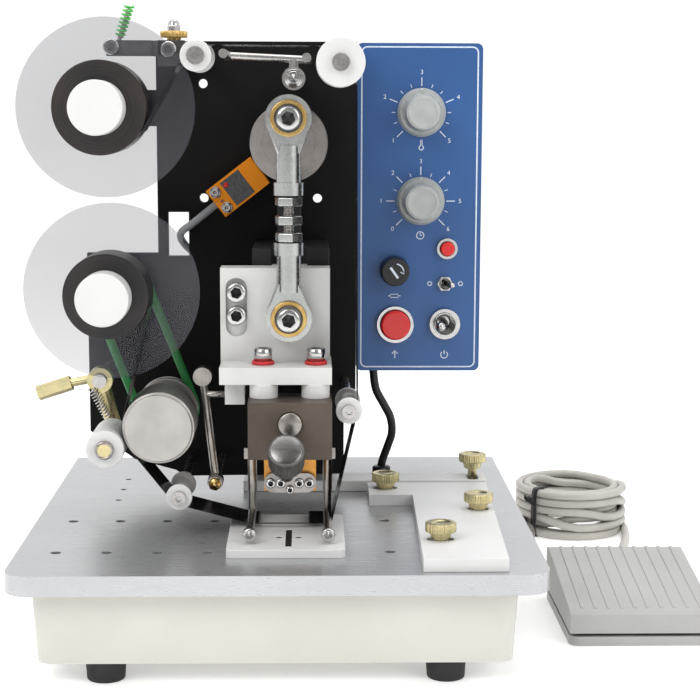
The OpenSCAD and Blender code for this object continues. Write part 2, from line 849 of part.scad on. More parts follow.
module fuse_cap() color([0.05, 0.05, 0.05]) {
  ycyl(fuse_at, panel_y - 10, panel_y - 0.3, 7.6, 8.25);
  ycyl(fuse_at, panel_y - 0.3, panel_y + 14, 4.6);
}

// ---- guides

// rear stop bar with slots for its screws
module back_guide() color([0.95, 0.95, 0.93])
  difference() {
    span([-22, 37, bed_top + 0.1], [112, 57.5, 61]);
    translate([104.9, 46.8, 50])
      linear_extrude(height = 20)
        round_rect(6, 14, 2.9);
  }

// side stop, an angled plate with cross slots for its screws
module side_guide() color([0.96, 0.96, 0.94])
  difference() {
    translate([0, 0, bed_top + 0.1])
      linear_extrude(height = 6)
        polygon([[46, 3.7], [46, 33], [111, 33], [109.5, -6], [105.5, -123], [66.3, -123], [69, 3.7]]);
    for (p = [[76.8, -87.5], [100.8, -27.5], [55.3, 20]])
      translate([p[0], p[1], 50])
        linear_extrude(height = 20)
          round_rect(p[0] > 90 ? 11 : 13, 6, 2.9);
  }

// ---- foot switch

// base plate, hinge pin, switch and cord gland
module pedal_base() color([0.45, 0.45, 0.46]) {
  left = pedal_x - pedal_w / 2;
  back = pedal_front + pedal_d;
  translate([pedal_x, pedal_front + pedal_d / 2, 0])
    linear_extrude(height = 4.8)
      round_rect(pedal_w, pedal_d, 5);
  for (x = [left + 5, left + pedal_w - 9])
    span([x, back - 12, 4], [x + 4, back - 4, 16]);
  translate([left + 0.4, back - 8, 12])
    rotate([0, 90, 0])
      cylinder(h = pedal_w - 0.8, r = 2);
  span([pedal_x - 6, -40, 4], [pedal_x + 6, -16, 12]);
  span([pedal_x - 5, back - 3, 0], [pedal_x + 5, back + 6, 4.6]);
  span([pedal_x - 5, back + 0.8, 0], [pedal_x + 5, back + 6, 9]);
}

// hollow ribbed tread
module pedal_tread() color([0.6, 0.6, 0.6])
  difference() {
    union() {
      tread_solid(0);
      for (k = [0 : 9])
        translate([pedal_x - 30 + k * 6.6, 0, 0])
          rotate([90, 0, 90])
            linear_extrude(height = 1.6)
              polygon([[-60, 17.4], [14, 29.15], [14, 29.95], [-60, 18.2]]);
    }
    tread_solid(2);
    translate([pedal_x - pedal_w, pedal_front + pedal_d - 8, 12])
      rotate([0, 90, 0])
        cylinder(h = 2 * pedal_w, r = 2 + fit);
  }

// the tread's outer shape, or its hollow when set in by a wall
module tread_solid(wall) {
  y0 = pedal_front + wall;
  y1 = pedal_front + pedal_d - wall;
  low = 6.4 - wall;
  translate([pedal_x - pedal_w / 2 + wall, 0, 0])
    rotate([90, 0, 90])
      linear_extrude(height = pedal_w - 2 * wall)
        polygon([
          [y0, low], [y0, 16 - wall], [y0 + 1.2, 17.2 - wall], [y1 - 6, 29.3 - wall],
          [y1 - 1, 28 - wall], [y1, 25 - wall], [y1, low]
        ]);
}

// The cord runs from the gland to the coil, and from the coil to the plug.
route = [
  [pedal_x, 26, 4.5], [pedal_x, 34, 3.6], [180.5, 46, 2.6], [185, 62, 2.5], [191.5, 80, 2.5],
  [198.5, 98, 2.5], [205, 118, 2.5], [210, 140, 2.5], [212.2, 158, 2.5], [212.5, 170, 2.5]
];
tail = [[147.5, 170, 7.5], [147.5, 160, 7.5], [147.2, 151, 7.6], [146.4, 142, 7.8], [145.2, 134, 8]];

function unit(v) = v / norm(v);
function direction(p, i) = unit(p[min(i + 1, len(p) - 1)] - p[max(i - 1, 0)]);
function ring(p, i, r, sides, up) =
  let (d = direction(p, i), u = unit(cross(d, up)), w = cross(u, d))
  [for (k = [0 : sides - 1]) p[i] + r * (cos(k * 360 / sides) * u + sin(k * 360 / sides) * w)];

// tube of flat sides swept along a list of points
module tube(p, r, sides, up = [0, 0, 1]) {
  rings = len(p);
  polyhedron(
    points = [for (i = [0 : rings - 1]) each ring(p, i, r, sides, up)],
    faces = concat(
      [[for (k = [sides - 1 : -1 : 0]) k]],
      [for (i = [0 : rings - 2], k = [0 : sides - 1]) let (a = i * sides, n = (k + 1) % sides)
        [a + k, a + n, a + sides + n, a + sides + k]],
      [[for (k = [0 : sides - 1]) (rings - 1) * sides + k]]
    )
  );
}

// tube closed into a loop that lies across Y
module closed_tube(p, r, sides) {
  count = len(p);
  polyhedron(
    points = [
      for (i = [0 : count - 1])
        let (d = unit(p[(i + 1) % count] - p[(i + count - 1) % count]), u = [0, 1, 0], w = cross(u, d))
        for (k = [0 : sides - 1])
          p[i] + r * (cos(k * 360 / sides) * u + sin(k * 360 / sides) * w)
    ],
    faces = [
      for (i = [0 : count - 1], k = [0 : sides - 1])
        let (a = i * sides, b = ((i + 1) % count) * sides, n = (k + 1) % sides)
        [a + k, a + n, b + n, b + k]
    ]
  );
}

// Points between the chosen ones, on a smooth curve through them.
function curve(a, b, c, d, t) = 0.5 * (2 * b + (c - a) * t + (2 * a - 5 * b + 4 * c - d) * t * t
  + (3 * b - a - 3 * c + d) * t * t * t);
function smooth(p, n) = concat([
  for (i = [0 : len(p) - 2], k = [0 : n - 1])
    curve(p[max(i - 1, 0)], p[i], p[i + 1], p[min(i + 2, len(p) - 1)], k / n)
], [p[len(p) - 1]]);

// free stretches of the foot switch cord
module pedal_cord() color([0.55, 0.55, 0.53]) {
  tube(smooth(route, 2), cord_d / 2, 10);
  tube(smooth(tail, 2), cord_d / 2, 10);
}

// the wound coil
module cord_reel() color([0.55, 0.55, 0.53]) {
  wide = coil_columns * cord_d;
  translate([coil_c[0], coil_c[1], 0])
    rotate_extrude()
      translate([coil_r - wide / 2, 0])
        square([wide, coil_layers * cord_d]);
}

// round metal connector at the end of the cord
module cord_plug() color([0.75, 0.75, 0.75]) {
  start = tail[len(tail) - 1];
  step = unit(start - tail[len(tail) - 2]);
  way = unit([step[0], step[1], 0]);
  bar(start, start + 9 * way, 5);
  bar(start + 9 * way, start + 26 * way, 7.8);
  difference() {
    bar(start + 26 * way, start + 33 * way, 6.2);
    bar(start + 28 * way, start + 34 * way, 5);
  }
}

feet();
base_box();
electronics();
bed_plate();
pad();
frame();
guide_housing();
gear_motor();
control_box();
panel();
bezels();
rear_sockets();
spindles();
ribbon_rods();
ribbon();
belt();
sensor();
harness();
brake_parts();
brake_spring();
thumb_screws();
crank();
rod_ends();
rod_races();
rod_hardware();
slider();
slider_screws();
heater_block();
type_holder();
clamp_plate();
clamp_knob();
supply_disc();
supply_roll();
supply_cap();
takeup_disc();
takeup_roll();
takeup_cap();
feed_drum();
pinch_arm();
pinch_roller();
roller_left();
roller_right();
spool_left();
spool_right();
tension_lever();
feed_link();
knob_upper();
knob_lower();
reset_button();
stop_button();
mode_toggle();
power_toggle();
fuse_cap();
back_guide();
side_guide();
pedal_base();
pedal_tread();
pedal_cord();
cord_reel();
cord_plug();
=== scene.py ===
"""Looks of the hot foil stamper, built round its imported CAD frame."""
import math
import bpy
import bmesh
from mathutils import Matrix, Vector


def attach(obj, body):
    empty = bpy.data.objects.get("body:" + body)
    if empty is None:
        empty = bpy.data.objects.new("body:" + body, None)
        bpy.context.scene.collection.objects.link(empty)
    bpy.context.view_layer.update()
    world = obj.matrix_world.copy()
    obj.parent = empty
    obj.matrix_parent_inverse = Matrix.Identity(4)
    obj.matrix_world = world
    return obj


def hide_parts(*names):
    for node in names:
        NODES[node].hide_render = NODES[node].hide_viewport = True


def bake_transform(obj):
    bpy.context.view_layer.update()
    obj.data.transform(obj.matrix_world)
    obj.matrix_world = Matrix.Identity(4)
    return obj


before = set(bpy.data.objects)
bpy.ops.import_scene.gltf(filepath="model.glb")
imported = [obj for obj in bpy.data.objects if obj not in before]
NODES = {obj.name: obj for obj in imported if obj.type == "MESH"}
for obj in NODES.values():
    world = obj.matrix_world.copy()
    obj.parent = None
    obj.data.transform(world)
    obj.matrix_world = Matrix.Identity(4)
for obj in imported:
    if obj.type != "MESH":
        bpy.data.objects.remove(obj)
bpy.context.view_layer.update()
MM = 0.001
UP = (0, 0, 1)
FRONT = (0, -1, 0)
HEAD_X = 4.2  # middle plane of the press, along X
# middles of the crank's disc and of the two reels, as (x, z) in mm
CRANK_DISC_AT = (HEAD_X, 247)
SUPPLY_AT = (-85.7, 263.8)
TAKEUP_AT = (-84.2, 173.4)


def mm(x, y, z):
    return Vector((x * MM, y * MM, z * MM))


# ---------------------------------------------------------------- camera

scene = bpy.context.scene
CAMERA_AT = mm(14.29, -855.28, 265.36)
CAMERA_YAW = math.radians(1.4168)
CAMERA_PITCH = math.radians(8.3945)
CAMERA_ROLL = math.radians(0.197)
ahead = Vector((
    math.sin(CAMERA_YAW) * math.cos(CAMERA_PITCH),
    math.cos(CAMERA_YAW) * math.cos(CAMERA_PITCH),
    -math.sin(CAMERA_PITCH),
))
level = Vector((math.cos(CAMERA_YAW), -math.sin(CAMERA_YAW), 0))
right = level * math.cos(CAMERA_ROLL) + level.cross(ahead) * math.sin(CAMERA_ROLL)
upward = right.cross(ahead)
camera_data = bpy.data.cameras.new("camera")
camera_data.lens = 85.31
camera_data.sensor_width = 36
camera_data.clip_start = 0.05
camera = bpy.data.objects.new("camera", camera_data)
camera.matrix_world = Matrix((
    (right.x, upward.x, -ahead.x, CAMERA_AT.x),
    (right.y, upward.y, -ahead.y, CAMERA_AT.y),
    (right.z, upward.z, -ahead.z, CAMERA_AT.z),
    (0, 0, 0, 1),
))
scene.collection.objects.link(camera)
scene.camera = camera

# ---------------------------------------------------------------- materials


def surface(name, base, second, rough=0.5, metal=0.0, blotch=25.0, grain=1200.0, bump=0.12,
            spread=0.12, stretch=(1, 1, 1), ring=None, coat=0.0, spec=0.5, alpha=1.0):
    """A finish that is mottled between two colours, with a fine grain.

    stretch scales the grain along X, Y and Z. ring = (x, z) in mm turns it about an axis along Y instead.
    """
    m = bpy.data.materials.new(name)
    m.use_nodes = True
    n, link = m.node_tree.nodes, m.node_tree.links.new
    shader = n["Principled BSDF"]
    place = n.new("ShaderNodeTexCoord").outputs["Object"]
    if ring:
        offset = n.new("ShaderNodeVectorMath")
        offset.operation = "SUBTRACT"
        offset.inputs[1].default_value = (ring[0] * MM, 0, ring[1] * MM)
        link(place, offset.inputs[0])
        flat = n.new("ShaderNodeVectorMath")
        flat.operation = "MULTIPLY"
        flat.inputs[1].default_value = (1, 0, 1)
        link(offset.outputs[0], flat.inputs[0])
        radius = n.new("ShaderNodeVectorMath")
        radius.operation = "LENGTH"
        link(flat.outputs[0], radius.inputs[0])
        grain_place = radius.outputs["Value"]
    else:
        mapping = n.new("ShaderNodeMapping")
        mapping.inputs["Scale"].default_value = stretch
        link(place, mapping.inputs["Vector"])
        grain_place = mapping.outputs["Vector"]
    mottle = n.new("ShaderNodeTexNoise")
    mottle.inputs["Scale"].default_value = blotch
    mottle.inputs["Detail"].default_value = 4
    link(place, mottle.inputs["Vector"])
    ramp = n.new("ShaderNodeMapRange")
    ramp.inputs["From Min"].default_value = 0.35
    ramp.inputs["From Max"].default_value = 0.65
    link(mottle.outputs["Fac"], ramp.inputs["Value"])
    mix = n.new("ShaderNodeMix")
    mix.data_type = "RGBA"
    mix.inputs[6].default_value = (*base, 1)
    mix.inputs[7].default_value = (*second, 1)
    link(ramp.outputs[0], mix.inputs[0])
    link(mix.outputs[2], shader.inputs["Base Color"])
    fine = n.new("ShaderNodeTexNoise")
    if ring:
        fine.noise_dimensions = "1D"
        link(grain_place, fine.inputs["W"])
    else:
        link(grain_place, fine.inputs["Vector"])
    fine.inputs["Scale"].default_value = grain
    fine.inputs["Detail"].default_value = 3
    gloss = n.new("ShaderNodeMapRange")
    gloss.inputs["From Min"].default_value = 0.3
    gloss.inputs["From Max"].default_value = 0.7
    gloss.inputs["To Min"].default_value = max(0.03, rough - spread / 2)
    gloss.inputs["To Max"].default_value = min(1.0, rough + spread / 2)
    link(fine.outputs["Fac"], gloss.inputs["Value"])
    link(gloss.outputs[0], shader.inputs["Roughness"])
    relief = n.new("ShaderNodeBump")
    relief.inputs["Strength"].default_value = bump
    relief.inputs["Distance"].default_value = 0.0002
    link(fine.outputs["Fac"], relief.inputs["Height"])
    link(relief.outputs[0], shader.inputs["Normal"])
    shader.inputs["Metallic"].default_value = metal
    shader.inputs["Coat Weight"].default_value = coat
    shader.inputs["Specular IOR Level"].default_value = spec
    shader.inputs["IOR"].default_value = 1.45
    shader.inputs["Alpha"].default_value = alpha
    m.diffuse_color = (*base, 1)
    return m


CREAM = surface("cream_powder_coat", (0.60, 0.595, 0.545), (0.57, 0.565, 0.515), rough=0.45, grain=2200,
                bump=0.2)
RUBBER = surface("black_rubber", (0.012, 0.012, 0.013), (0.02, 0.02, 0.02), rough=0.7, grain=1500,
                 bump=0.3)
BED = surface("ground_aluminium", (0.50, 0.505, 0.515), (0.46, 0.465, 0.475), rough=0.30, metal=0.7,
              blotch=12, grain=900, stretch=(0.08, 1, 1), bump=0.012, spread=0.08)
NYLON = surface("white_nylon", (0.66, 0.66, 0.655), (0.62, 0.62, 0.61), rough=0.42, grain=900, bump=0.08)
POM = surface("white_acetal", (0.64, 0.64, 0.625), (0.59, 0.59, 0.57), rough=0.4, blotch=60, grain=1800,
              bump=0.1)
BLACK_COAT = surface("black_powder_coat", (0.0035, 0.0035, 0.0035), (0.006, 0.006, 0.006), rough=0.55,
                     grain=2600, bump=0.2, spec=0.16)
CASTING = surface("black_casting", (0.010, 0.010, 0.011), (0.018, 0.018, 0.019), rough=0.5, grain=700,
                  bump=0.5, spec=0.3)
MOTOR = surface("motor_grey", (0.16, 0.165, 0.18), (0.12, 0.125, 0.14), rough=0.4, metal=0.6, grain=1200,
                bump=0.3)
BOX_BLUE = surface("blue_box_paint", (0.055, 0.10, 0.22), (0.045, 0.085, 0.20), rough=0.4, grain=1800,
                   bump=0.25)
PANEL_BLUE = surface("blue_panel_film", (0.030, 0.105, 0.30), (0.024, 0.085, 0.25), rough=0.36, blotch=9,
                     grain=2600, bump=0.08, coat=0.15)
PRINT = surface("white_print", (0.70, 0.76, 0.84), (0.60, 0.67, 0.78), rough=0.5, blotch=400, grain=3000,
                bump=0.05)
CHROME = surface("chrome", (0.56, 0.56, 0.55), (0.48, 0.48, 0.47), rough=0.2, metal=1.0, grain=300,
                 bump=0.01, spread=0.08)
STEEL = surface("machined_steel", (0.50, 0.485, 0.47), (0.42, 0.405, 0.39), rough=0.27, metal=1.0,
                blotch=120, grain=500, bump=0.02, spread=0.08)
ZINC = surface("bright_zinc_plate", (0.50, 0.51, 0.50), (0.42, 0.43, 0.42), rough=0.26, metal=1.0,
               blotch=80, grain=400, bump=0.02, spread=0.08)
SATIN = surface("satin_rod_steel", (0.40, 0.37, 0.34), (0.28, 0.26, 0.24), rough=0.3, metal=1.0,
                blotch=200, grain=900, stretch=(1, 1, 0.05), bump=0.08)
TURNED = surface("turned_steel", (0.36, 0.33, 0.31), (0.26, 0.24, 0.225), rough=0.32, metal=1.0, blotch=90,
                 grain=2600, ring=CRANK_DISC_AT, bump=0.12, spread=0.16)
DARK_STEEL = surface("dark_steel", (0.16, 0.15, 0.145), (0.10, 0.095, 0.09), rough=0.38, metal=0.9,
                     blotch=120, grain=1500, bump=0.2)
HEATER = surface("heat_stained_block", (0.115, 0.090, 0.070), (0.080, 0.064, 0.052), rough=0.45, metal=0.5,
                 blotch=50, grain=900, stretch=(0.2, 1, 1), bump=0.25, spread=0.16)
BRASS = surface("brass", (0.66, 0.46, 0.18), (0.50, 0.32, 0.10), rough=0.3, metal=1.0, blotch=140,
                grain=1600, bump=0.15)
HOT_BRASS = surface("heat_tinted_brass", (0.62, 0.30, 0.06), (0.42, 0.20, 0.06), rough=0.35, metal=0.9,
                    blotch=220, grain=1600, bump=0.2)
ZINC_YELLOW = surface("yellow_zinc", (0.66, 0.56, 0.30), (0.50, 0.46, 0.26), rough=0.3, metal=1.0,
                      blotch=180, grain=2000, bump=0.12)
GREEN_BELT = surface("green_belt", (0.035, 0.30, 0.08), (0.03, 0.24, 0.06), rough=0.45, grain=1500,
                     bump=0.15)
GREEN_WIRE = surface("green_spring_wire", (0.06, 0.50, 0.06), (0.04, 0.40, 0.05), rough=0.3, grain=1200,
                     bump=0.05, coat=0.3)
ORANGE = surface("orange_plastic", (0.92, 0.30, 0.006), (0.86, 0.27, 0.005), rough=0.5, grain=2200,
                 bump=0.1, spec=0.25)
LABEL = surface("sensor_label", (0.035, 0.035, 0.038), (0.10, 0.10, 0.105), rough=0.4, blotch=1500,
                grain=2400, bump=0.05)
GREY_CABLE = surface("grey_cable", (0.30, 0.31, 0.32), (0.25, 0.26, 0.27), rough=0.5, grain=1200,
                     bump=0.12)
BLACK_CABLE = surface("black_cable", (0.010, 0.010, 0.011), (0.016, 0.016, 0.017), rough=0.42, grain=1400,
                      bump=0.12)
BLACK_PLASTIC = surface("black_plastic", (0.014, 0.014, 0.015), (0.02, 0.02, 0.022), rough=0.32,
                        grain=1800, bump=0.12)
KNOB = surface("grey_knob_plastic", (0.42, 0.44, 0.43), (0.37, 0.39, 0.38), rough=0.36, blotch=150,
               grain=2400, bump=0.12)
RED = surface("red_plastic", (0.72, 0.012, 0.010), (0.62, 0.010, 0.010), rough=0.25, grain=1200, bump=0.05,
              coat=0.3)
FIBRE = surface("red_fibre_washer", (0.60, 0.03, 0.03), (0.45, 0.03, 0.03), rough=0.6, blotch=500,
                grain=2200, bump=0.2)
PEDAL = surface("grey_pedal_plastic", (0.40, 0.40, 0.39), (0.37, 0.37, 0.36), rough=0.5, blotch=30,
                grain=3200, bump=0.4)
CORD = surface("grey_pvc_cord", (0.50, 0.48, 0.44), (0.44, 0.42, 0.385), rough=0.42, blotch=60, grain=1600,
               bump=0.1)
DRUM = surface("brushed_drum", (0.50, 0.48, 0.455), (0.42, 0.40, 0.38), rough=0.36, metal=0.85, blotch=60,
               grain=500, stretch=(1, 1, 0.1), bump=0.05, spread=0.1)
CIRCUIT = surface("green_board", (0.02, 0.14, 0.05), (0.015, 0.10, 0.04), rough=0.4, grain=1500, bump=0.2)
CLEAR = surface("clear_disc", (0.15, 0.15, 0.17), (0.12, 0.12, 0.14), rough=0.12, blotch=20, grain=300,
                ring=SUPPLY_AT, bump=0.02, spread=0.06, alpha=0.25)
WOUND = {
    "supply_roll": surface("wound_foil_full", (0.028, 0.020, 0.018), (0.012, 0.011, 0.011), rough=0.36,
                           blotch=40, grain=1500, ring=SUPPLY_AT, bump=0.5, spread=0.3),
    "takeup_roll": surface("wound_foil_used", (0.020, 0.017, 0.016), (0.010, 0.009, 0.009), rough=0.38,
                           blotch=40, grain=1300, ring=TAKEUP_AT, bump=0.6, spread=0.3),
}


def ribbon_finish():
    """Foil whose stamped run, low between the two rods, has given up its colour and is nearly clear."""
    m = surface("ribbon_foil", (0.006, 0.006, 0.007), (0.014, 0.012, 0.012), rough=0.2, blotch=90, grain=500,
                stretch=(1, 0.1, 1), bump=0.1)
    n, link = m.node_tree.nodes, m.node_tree.links.new
    split = n.new("ShaderNodeSeparateXYZ")
    link(n.new("ShaderNodeTexCoord").outputs["Object"], split.inputs[0])

    def fade(axis, low, high, least):
        """Goes from least to 1 as the place along axis goes from low to high, in metres."""
        step = n.new("ShaderNodeMapRange")
        step.inputs["From Min"].default_value = low
        step.inputs["From Max"].default_value = high
        step.inputs["To Min"].default_value = least
        link(split.outputs[axis], step.inputs["Value"])
        return step.outputs[0]

    left_of_run = fade("X", -0.010, -0.012, 0.06)
    right_of_run = fade("X", 0.0135, 0.015, 0.06)
    front_edge = fade("Y", -0.0556, -0.0560, 0.06)
    above_run = fade("Z", 0.066, 0.068, 0)
    solid = left_of_run
    for part in (right_of_run, front_edge, above_run):
        most = n.new("ShaderNodeMath")
        most.operation = "MAXIMUM"
        link(solid, most.inputs[0])
        link(part, most.inputs[1])
        solid = most.outputs[0]
    link(solid, n["Principled BSDF"].inputs["Alpha"])
    return m


RIBBON = ribbon_finish()
KNOB_FACE = surface("brushed_knob_face", (0.20, 0.195, 0.19), (0.14, 0.135, 0.13), rough=0.26, metal=1.0,
                    blotch=120, grain=900, stretch=(0.05, 1, 1), bump=0.1, spread=0.12)

# each CAD node that stays: its finish and the width of its softened edges in mm
KEPT = {
    "feet": (RUBBER, 0.8), "base_box": (CREAM, 1.4), "electronics": (CIRCUIT, 0), "bed_plate": (BED, 0.7),
    "pad": (NYLON, 0.3), "frame": (BLACK_COAT, 0.4), "guide_housing": (CASTING, 0.7),
    "gear_motor": (MOTOR, 1.0),
    "control_box": (BOX_BLUE, 0.8), "panel": (PANEL_BLUE, 0.3), "bezels": (CHROME, 0.35),
    "rear_sockets": (BLACK_PLASTIC, 0.4), "spindles": (STEEL, 0.35), "ribbon_rods": (SATIN, 0),
    "ribbon": (RIBBON, 0), "belt": (GREEN_BELT, 0), "crank": (TURNED, 0.5),
    "rod_ends": (ZINC, 0), "rod_races": (BRASS, 0.5), "rod_hardware": (STEEL, 0.4), "slider": (POM, 0.5),
    "slider_screws": (STEEL, 0.4), "heater_block": (HEATER, 0.5), "type_holder": (HOT_BRASS, 0.25),
    "clamp_plate": (TURNED, 0.4), "supply_disc": (CLEAR, 0.25), "supply_roll": (WOUND["supply_roll"], 0.4),
    "supply_cap": (NYLON, 0.8), "takeup_disc": (CLEAR, 0.25), "takeup_roll": (WOUND["takeup_roll"], 0.4),
    "takeup_cap": (NYLON, 0.8), "feed_drum": (DRUM, 0.5), "pinch_arm": (ZINC_YELLOW, 0.4),
    "pinch_roller": (NYLON, 0.6), "roller_left": (NYLON, 0.5), "roller_right": (NYLON, 0.6),
    "spool_left": (NYLON, 0.5), "spool_right": (NYLON, 0.5), "tension_lever": (STEEL, 0.3),
    "feed_link": (SATIN, 0.4), "knob_upper": (KNOB, 0.6), "knob_lower": (KNOB, 0.6),
    "reset_button": (RED, 0.8), "stop_button": (RED, 1.2), "mode_toggle": (CHROME, 0),
    "power_toggle": (CHROME, 0),
    "fuse_cap": (BLACK_PLASTIC, 0.8), "back_guide": (NYLON, 0.5), "side_guide": (NYLON, 0.5),
    "pedal_base": (PEDAL, 0.5), "pedal_tread": (PEDAL, 1.0), "cord_plug": (STEEL, 0.5),
}


def even_shading(o):
    """Shades broad faces flat, so that only the narrow edges look rounded."""
    shade = o.modifiers.new("shade", "WEIGHTED_NORMAL")
    shade.keep_sharp = False


def soften(o, width, segments=2, angle=35):
    """Rounds the edges that turn more than angle degrees, width mm across."""
    edge = o.modifiers.new("soft_edges", "BEVEL")
    edge.width = width * MM
    edge.segments = segments
    edge.limit_method = "ANGLE"
    edge.angle_limit = math.radians(angle)
    even_shading(o)


def join_facets(o):
    """Joins the triangles of each flat face, so that the rounded edges have clean faces to meet."""
    weld = o.modifiers.new("weld", "WELD")
    weld.merge_threshold = 2e-6
    plane = o.modifiers.new("planes", "DECIMATE")
    plane.decimate_type = "DISSOLVE"
    plane.angle_limit = math.radians(0.4)


for name, (finish, width) in KEPT.items():
    node = NODES[name]
    node.data.materials.clear()
    node.data.materials.append(finish)
    if width:
        join_facets(node)
        soften(node, width, segments=3, angle=38)

# ---------------------------------------------------------------- building pieces


def piece(name, bm, body, finish, smooth=True):
    """Makes an object of bm that rides on body. finish is one material, or a list for its faces."""
    mesh = bpy.data.meshes.new(name)
    bmesh.ops.recalc_face_normals(bm, faces=bm.faces)
    bm.to_mesh(mesh)
    bm.free()
    for face in mesh.polygons:
        face.use_smooth = smooth
    o = bpy.data.objects.new(name, mesh)
    scene.collection.objects.link(o)
    for f in finish if isinstance(finish, list) else [finish]:
        mesh.materials.append(f)
    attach(o, body)
    return o


def lathe(bm, profile, at, axis, sides=48, wobble=None, material=0):
    """Turns profile = [(radius, height), ...] in mm about axis through at.

    wobble(angle, radius, height) gives what is added to the radius.
    """
    axis = Vector(axis).normalized()
    side = axis.orthogonal().normalized()
    other = axis.cross(side)
    rings = []
    for r, h in profile:
        ring = []
        for k in range(sides):
            a = 2 * math.pi * k / sides
            rr = (r + (wobble(a, r, h) if wobble else 0)) * MM
            around_axis = side * math.cos(a) + other * math.sin(a)
            ring.append(bm.verts.new(mm(*at) + axis * h * MM + around_axis * rr))
        rings.append(ring)
    for lower, upper in zip(rings, rings[1:]):
        for k in range(sides):
            n = (k + 1) % sides
            bm.faces.new((lower[k], lower[n], upper[n], upper[k])).material_index = material
    for ring in (rings[0], rings[-1]):
        bm.faces.new(ring).material_index = material


def knurl(ridges, depth, beyond, low=-math.inf, high=math.inf, sunk=0):
    """A wobble of square ridges, where the radius is over beyond and the height is between low and high."""
    def relief(angle, radius, height):
        if radius <= beyond or not low < height < high:
            return 0
        return (depth if math.cos(ridges * angle) > 0 else -depth) - sunk
    return relief


def screw(bm, at, axis, r, h, material=0, recess_shade=0):
    """A socket cap screw standing h mm from at along axis, with a hexagonal recess in the material hole, a
    dark one where the recess's shade is painted.
    """
    axis = Vector(axis).normalized()
    rim = r * 0.62
    lathe(bm, [(r, 0), (r, h - 0.5), (r - 0.5, h), (rim, h)], at, axis, 32, material=material)
    top = tuple(Vector(at) + axis * (h + 0.02))
    recess = [(rim, 0), (r * 0.5, -0.1), (r * 0.48, -h * 0.45), (0.1, -h * 0.5)]
    lathe(bm, recess, top, axis, 6, material=recess_shade)


def slab(bm, low, high, material=0, turn=None):
    """A box between two corners in mm; turn = (centre, degrees about Y)."""
    made = bmesh.ops.create_cube(bm, size=1)["verts"]
    size = [(b - a) for a, b in zip(low, high)]
    centre = [(a + b) / 2 for a, b in zip(low, high)]
    bmesh.ops.scale(bm, verts=made, vec=mm(*size))
    bmesh.ops.translate(bm, verts=made, vec=mm(*centre))
    if turn:
        spin = Matrix.Rotation(math.radians(turn[1]), 4, "Y")
        pivot = Matrix.Translation(mm(*turn[0]))
        bmesh.ops.transform(bm, matrix=pivot @ spin @ pivot.inverted(), verts=made)
    for face in {f for v in made for f in v.link_faces}:
        face.material_index = material


def smooth_path(points, steps):
    """Points on the smooth curve through the given ones, as in the CAD source."""
    out = []
    for i in range(len(points) - 1):
        a, b, c, d = (Vector(points[min(max(k, 0), len(points) - 1)]) for k in (i - 1, i, i + 1, i + 2))
        for k in range(steps):
            t = k / steps
            out.append(0.5 * (2 * b + (c - a) * t + (2 * a - 5 * b + 4 * c - d) * t * t
                              + (3 * b - a - 3 * c + d) * t ** 3))
    return out + [Vector(points[-1])]


def wire(name, points, diameter, body, finish):
    """A round wire or cord on a line of points in mm."""
    data = bpy.data.curves.new(name, "CURVE")
    data.dimensions = "3D"
    data.bevel_depth = diameter * MM / 2
    data.bevel_resolution = 5
    data.use_fill_caps = True
    spline = data.splines.new("POLY")
    spline.points.add(len(points) - 1)
    for p, at in zip(spline.points, points):
        p.co = (*mm(*at), 1)
    data.materials.append(finish)
    o = bpy.data.objects.new(name, data)
    scene.collection.objects.link(o)
    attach(o, body)
    return o


# ---------------------------------------------------------------- cords

BED_TOP = 54.8
CORD_D = 5
PEDAL_X = 179.5
ROUTE = [
    (PEDAL_X, 26, 4.5), (PEDAL_X, 34, 3.6), (180.5, 46, 2.6), (185, 62, 2.5), (191.5, 80, 2.5),
    (198.5, 98, 2.5), (205, 118, 2.5), (210, 140, 2.5), (212.2, 158, 2.5), (212.5, 170, 2.5),
]
TAIL = [(147.5, 170, 7.5), (147.5, 160, 7.5), (147.2, 151, 7.6), (146.4, 142, 7.8), (145.2, 134, 8)]
COIL_AT = (180, 170)
INNER, OUTER = 27.5, 32.5  # radii of the two turns that lie side by side
LAYERS = 6
# radius and layer of each place in the winding: the outer one on the floor, up the inside, down the outside
PLACES = [(OUTER, 0)] + [(INNER, k) for k in range(LAYERS)] + [(OUTER, k) for k in range(LAYERS - 1, 0, -1)]
TURN_SHIFT = 45  # degrees over which the cord steps from one place to the next
PLACE_ANGLE = 360 - TURN_SHIFT
COIL_END = len(PLACES) * PLACE_ANGLE
COIL_STEP = 15


def coil_point(angle):
    """The point of the coil where the cord has turned through angle degrees."""
    i = min(int(angle // PLACE_ANGLE), len(PLACES) - 1)
    t = (angle - i * PLACE_ANGLE) / TURN_SHIFT if i else 1
    t = min(max(t, 0), 1)
    t = t * t * (3 - 2 * t)
    r0, k0 = PLACES[max(i - 1, 0)]
    r1, k1 = PLACES[i]
    r, k = r0 + (r1 - r0) * t, k0 + (k1 - k0) * t
    a = math.radians(angle)
    return (COIL_AT[0] + r * math.cos(a), COIL_AT[1] + r * math.sin(a), CORD_D * (k + 0.5))


coil_line = [Vector(coil_point(a)) for a in range(0, COIL_END + 1, COIL_STEP)]
cord_line = smooth_path(ROUTE, 4)[:-1] + coil_line + smooth_path(TAIL, 4)[1:]
cord = wire("pedal_lead", cord_line, CORD_D, "stand", CORD)
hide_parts("pedal_cord", "cord_reel")


